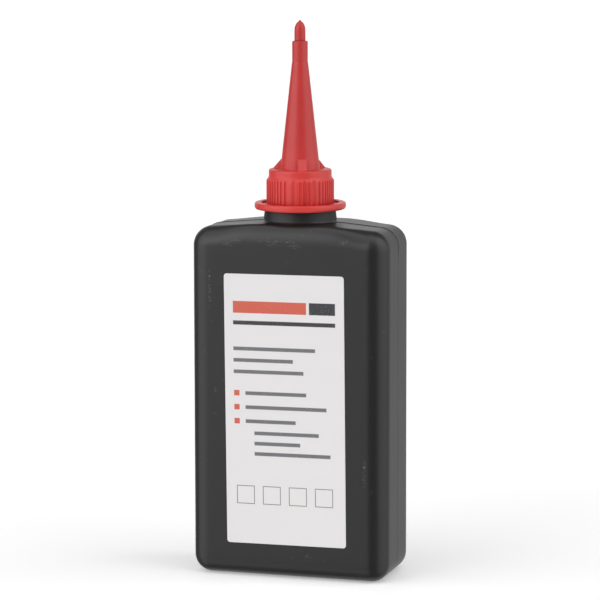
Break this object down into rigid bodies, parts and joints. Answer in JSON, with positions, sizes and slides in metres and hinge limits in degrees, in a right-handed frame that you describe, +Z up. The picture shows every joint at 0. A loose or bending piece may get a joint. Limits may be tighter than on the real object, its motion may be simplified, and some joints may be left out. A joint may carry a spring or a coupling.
{
  "type": "graphite lock lubricant tube",
  "caption": "Flat black squeeze bottle of graphite powder for locks, with a plain front label, a red tamper ring and a red ribbed screw cap that carries a long nozzle and a tip plug.",
  "frame": {"origin": "on the standing face, under the centre of the neck", "axes": "+Z up along the neck and the nozzle; the labelled front faces -Y; +X to the right seen from the front"},
  "size_m": [0.0546, 0.0259, 0.1491],
  "materials": {
    "bottle_black": "satin",
    "graphite": "matte",
    "label_white": "satin",
    "cap_red": "satin",
    "foam_white": "matte"
  },
  "bodies": {
    "bottle": {"bottle_shell": "bottle_black", "graphite_powder": "graphite", "front_label": "label_white"},
    "tamper_ring": {"tamper_ring": "cap_red"},
    "sealing_washer": {"sealing_washer": "foam_white"},
    "spout_cap": {"spout_cap": "cap_red"},
    "tip_plug": {"tip_plug": "cap_red"}
  },
  "joints": [
    {"name": "ring_turn", "type": "hinge", "parent": "bottle", "child": "tamper_ring", "pos_m": [0, 0, 0.0998], "axis": [0, 0, 1], "continuous": true},
    {"name": "cap_lift", "type": "slide", "parent": "bottle", "child": "sealing_washer", "axis": [0, 0, 1], "range_m": [0, 0.0083]},
    {"name": "cap_turn", "type": "hinge", "parent": "sealing_washer", "child": "spout_cap", "pos_m": [0, 0, 0.105], "axis": [0, 0, 1], "range_deg": [0, 990]},
    {"name": "plug_pull", "type": "slide", "parent": "spout_cap", "child": "tip_plug", "axis": [0, 0, 1], "range_m": [0, 0.012]}
  ],
  "couplings": [
    {"joint": "cap_lift", "follows": "cap_turn", "m_per_rad": 0.00047746}
  ]
}
